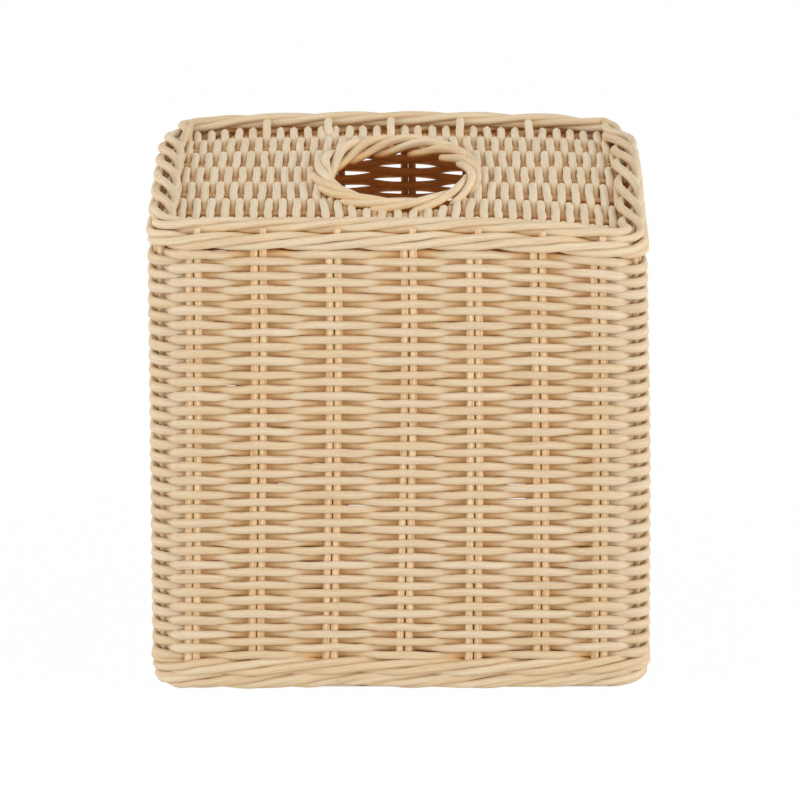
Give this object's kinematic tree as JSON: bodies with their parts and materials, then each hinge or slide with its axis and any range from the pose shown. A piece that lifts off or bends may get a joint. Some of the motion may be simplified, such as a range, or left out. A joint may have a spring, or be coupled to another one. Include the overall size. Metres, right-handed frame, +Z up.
{
  "type": "tissue box cover",
  "caption": "Cube-shaped woven rattan cover for a box of paper tissues, open below, with rolled borders and an oval opening in the top.",
  "frame": {"origin": "on the table, below the middle of the cover", "axes": "+Z up, -Y out of the front face, +X to the right as seen from the front"},
  "size_m": [0.146, 0.146, 0.1405],
  "materials": {
    "stake_cane": "peeled rattan core, matt, with fine grooves along the rod",
    "weaver_cane": "peeled rattan core, matt, pale straw",
    "border_cane": "peeled rattan core, matt, straw with warmer streaks"
  },
  "bodies": {
    "root": {"cross_stakes_1": "stake_cane", "cross_stakes_2": "stake_cane", "cross_stakes_3": "stake_cane", "cross_stakes_4": "stake_cane", "cross_stakes_5": "stake_cane", "cross_stakes_6": "stake_cane", "cross_stakes_7": "stake_cane", "front_stakes_1": "stake_cane", "front_stakes_2": "stake_cane", "front_stakes_3": "stake_cane", "front_stakes_4": "stake_cane", "front_stakes_5": "stake_cane", "front_stakes_6": "stake_cane", "front_stakes_7": "stake_cane", "back_stakes_1": "stake_cane", "back_stakes_2": "stake_cane", "back_stakes_3": "stake_cane", "back_stakes_4": "stake_cane", "back_stakes_5": "stake_cane", "back_stakes_6": "stake_cane", "back_stakes_7": "stake_cane", "side_weavers_1": "weaver_cane", "side_weavers_2": "weaver_cane", "side_weavers_3": "weaver_cane", "side_weavers_4": "weaver_cane", "side_weavers_5": "weaver_cane", "side_weavers_6": "weaver_cane", "side_weavers_7": "weaver_cane", "side_weavers_8": "weaver_cane", "side_weavers_9": "weaver_cane", "bottom_border_1": "border_cane", "bottom_border_2": "border_cane", "bottom_border_3": "border_cane", "bottom_wale_1": "border_cane", "bottom_wale_2": "border_cane", "bottom_wale_3": "border_cane", "top_wale_1": "border_cane", "top_wale_2": "border_cane", "top_wale_3": "border_cane", "edge_border_1": "border_cane", "edge_border_2": "border_cane", "edge_border_3": "border_cane", "opening_border_1": "border_cane", "opening_border_2": "border_cane", "opening_border_3": "border_cane", "top_weavers_left": "weaver_cane", "top_weavers_right": "weaver_cane", "top_weavers_front": "weaver_cane", "top_weavers_back": "weaver_cane"}
  },
  "joints": []
}
